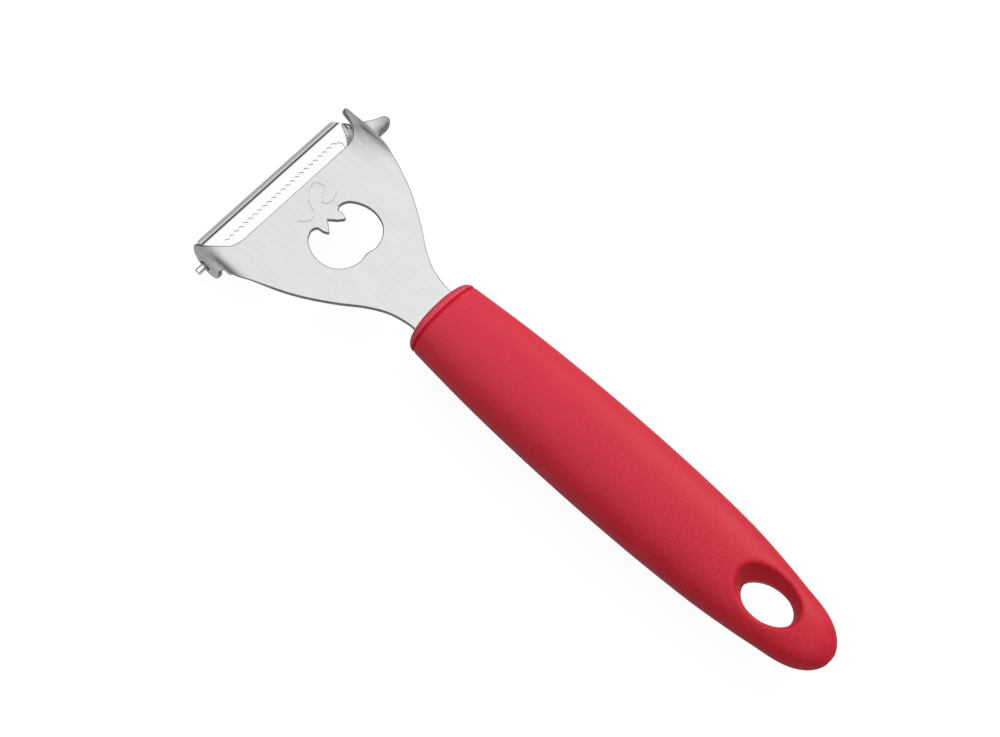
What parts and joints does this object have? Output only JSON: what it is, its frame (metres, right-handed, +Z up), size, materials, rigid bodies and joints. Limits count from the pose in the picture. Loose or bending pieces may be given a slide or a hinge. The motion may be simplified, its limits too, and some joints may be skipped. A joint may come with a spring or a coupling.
{
  "type": "y-shaped swivel peeler",
  "caption": "Hand-held Y-shaped fruit and vegetable peeler: stamped steel head with folded ears, a serrated swivel blade, an eye remover and a soft-touch handle with a hanging hole.",
  "frame": {"origin": "under the centre of the object's box, on the plane of its lowest points", "axes": "+Y along the handle towards the blade, +Z up out of the head's upper face, +X towards the eye remover's side"},
  "size_m": [0.0636, 0.1854, 0.0223],
  "materials": {
    "brushed_steel": "fine brushing along the handle, satin",
    "polished_steel": "mirror polished",
    "collar_plastic": "smooth satin",
    "core_plastic": "hidden hard moulding",
    "soft_grip": "matt soft touch with a fine grain"
  },
  "bodies": {
    "handle": {"head_plate": "brushed_steel", "tang_plug": "collar_plastic", "handle_core": "core_plastic", "grip_sleeve": "soft_grip"},
    "blade": {"swivel_blade": "polished_steel"}
  },
  "joints": [
    {"name": "blade_swivel", "type": "hinge", "parent": "handle", "child": "blade", "pos_m": [-0.00225, 0.08634, 0.00342], "axis": [1, 0, 0], "range_deg": [-70, 50]}
  ]
}
